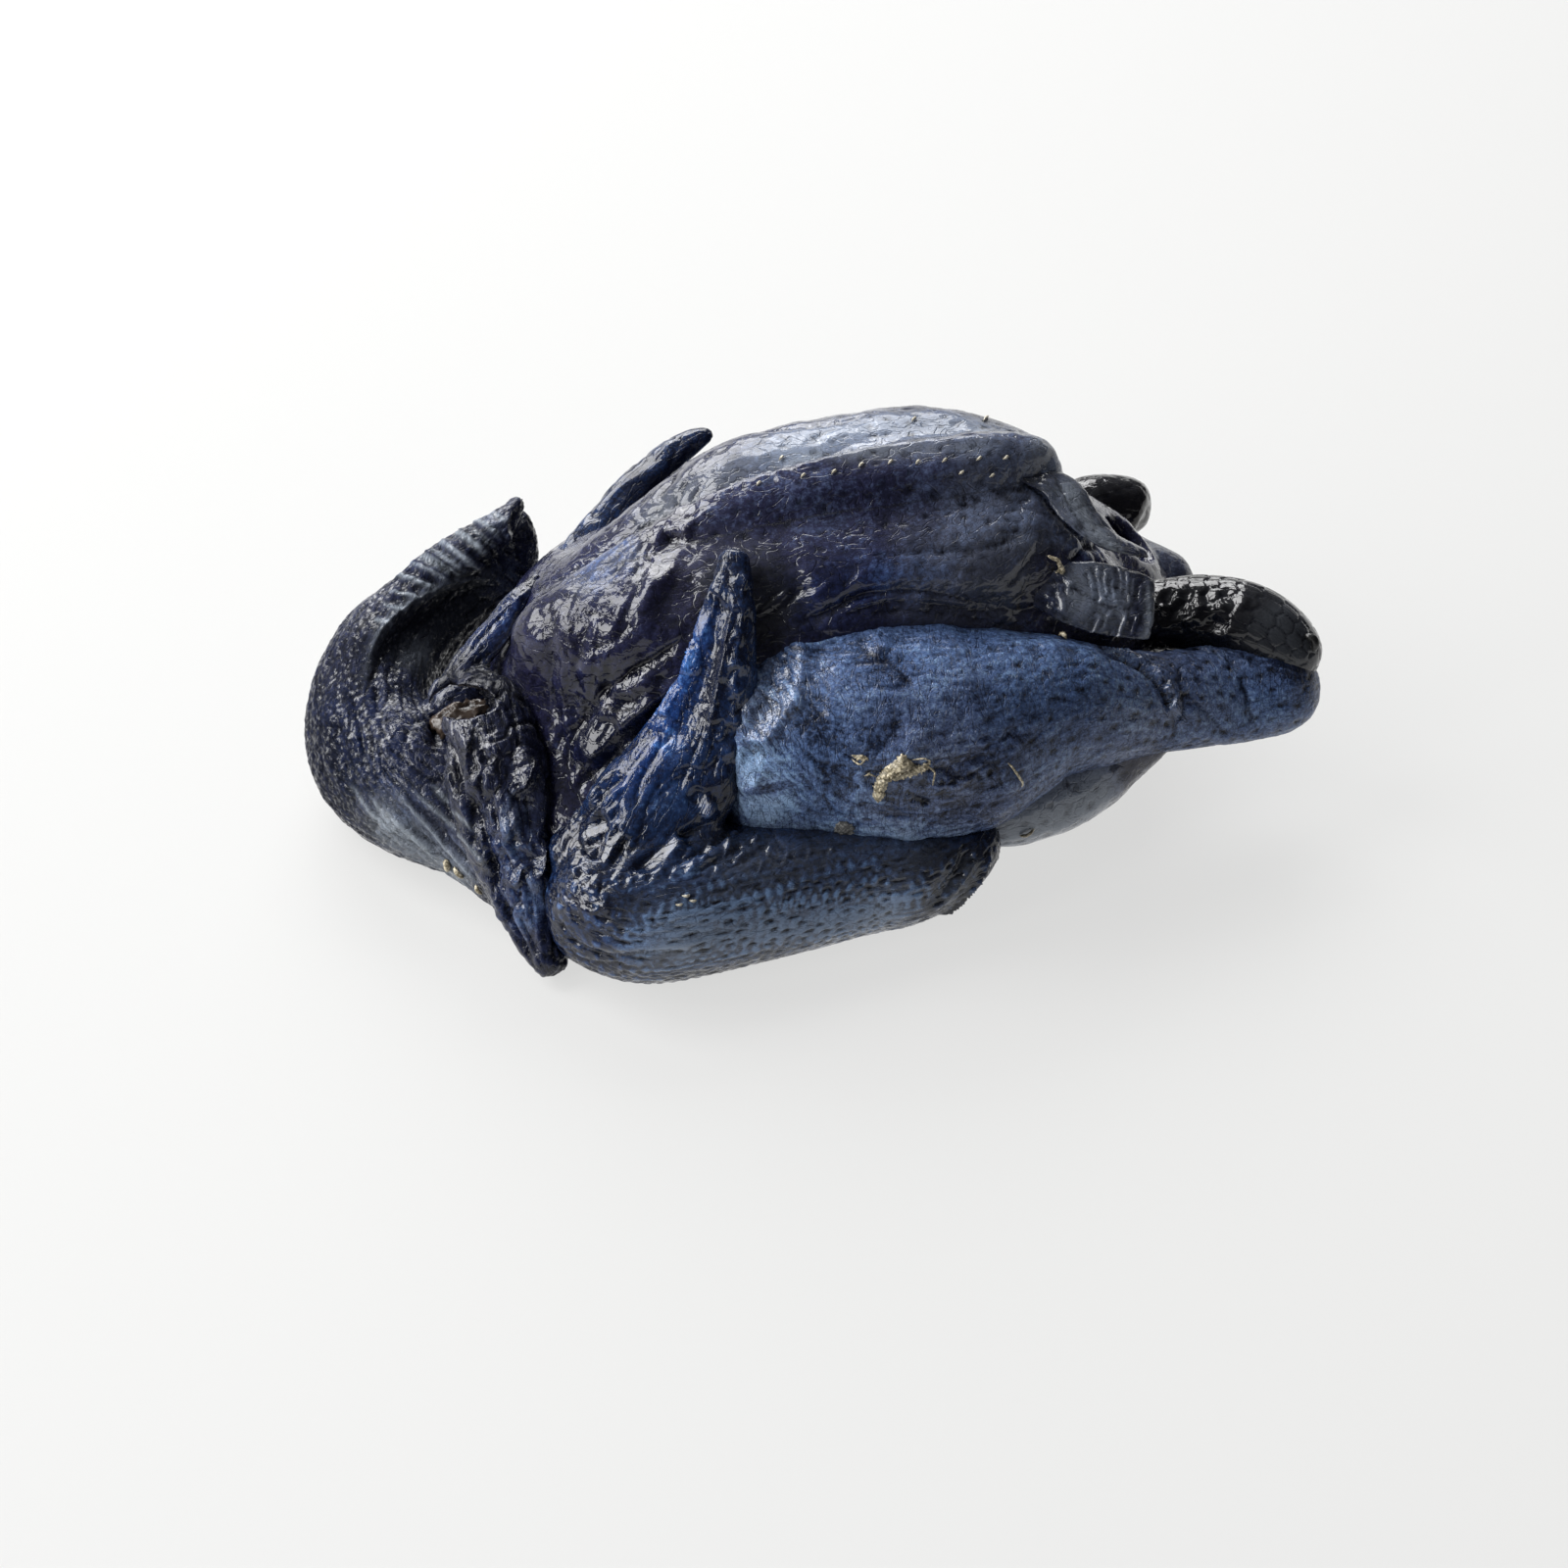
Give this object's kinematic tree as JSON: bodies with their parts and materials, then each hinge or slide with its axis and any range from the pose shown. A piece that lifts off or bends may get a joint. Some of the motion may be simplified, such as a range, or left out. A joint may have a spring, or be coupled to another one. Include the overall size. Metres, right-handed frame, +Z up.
{
  "type": "whole raw chicken",
  "caption": "Whole raw dressed chicken with blue-black skin, lying on its back with wings folded, feet tucked into the vent and the neck curled beside the breast.",
  "frame": {"origin": "on the table, under the middle of the bird's bounding box", "axes": "+X from the curled neck to the tucked feet, +Y to the bird's far side, +Z up through the breast"},
  "size_m": [0.2155, 0.132, 0.0867],
  "materials": {
    "skin": "wet, blue-black, wrinkled skin with feather follicles",
    "scales": "glossy black scales on the shanks",
    "flesh": "wet dark flesh inside the crop opening",
    "membrane": "thin dry scrap of pale skin",
    "quill": "pale pin feathers"
  },
  "bodies": {
    "root": {"chicken": "skin"}
  },
  "joints": []
}
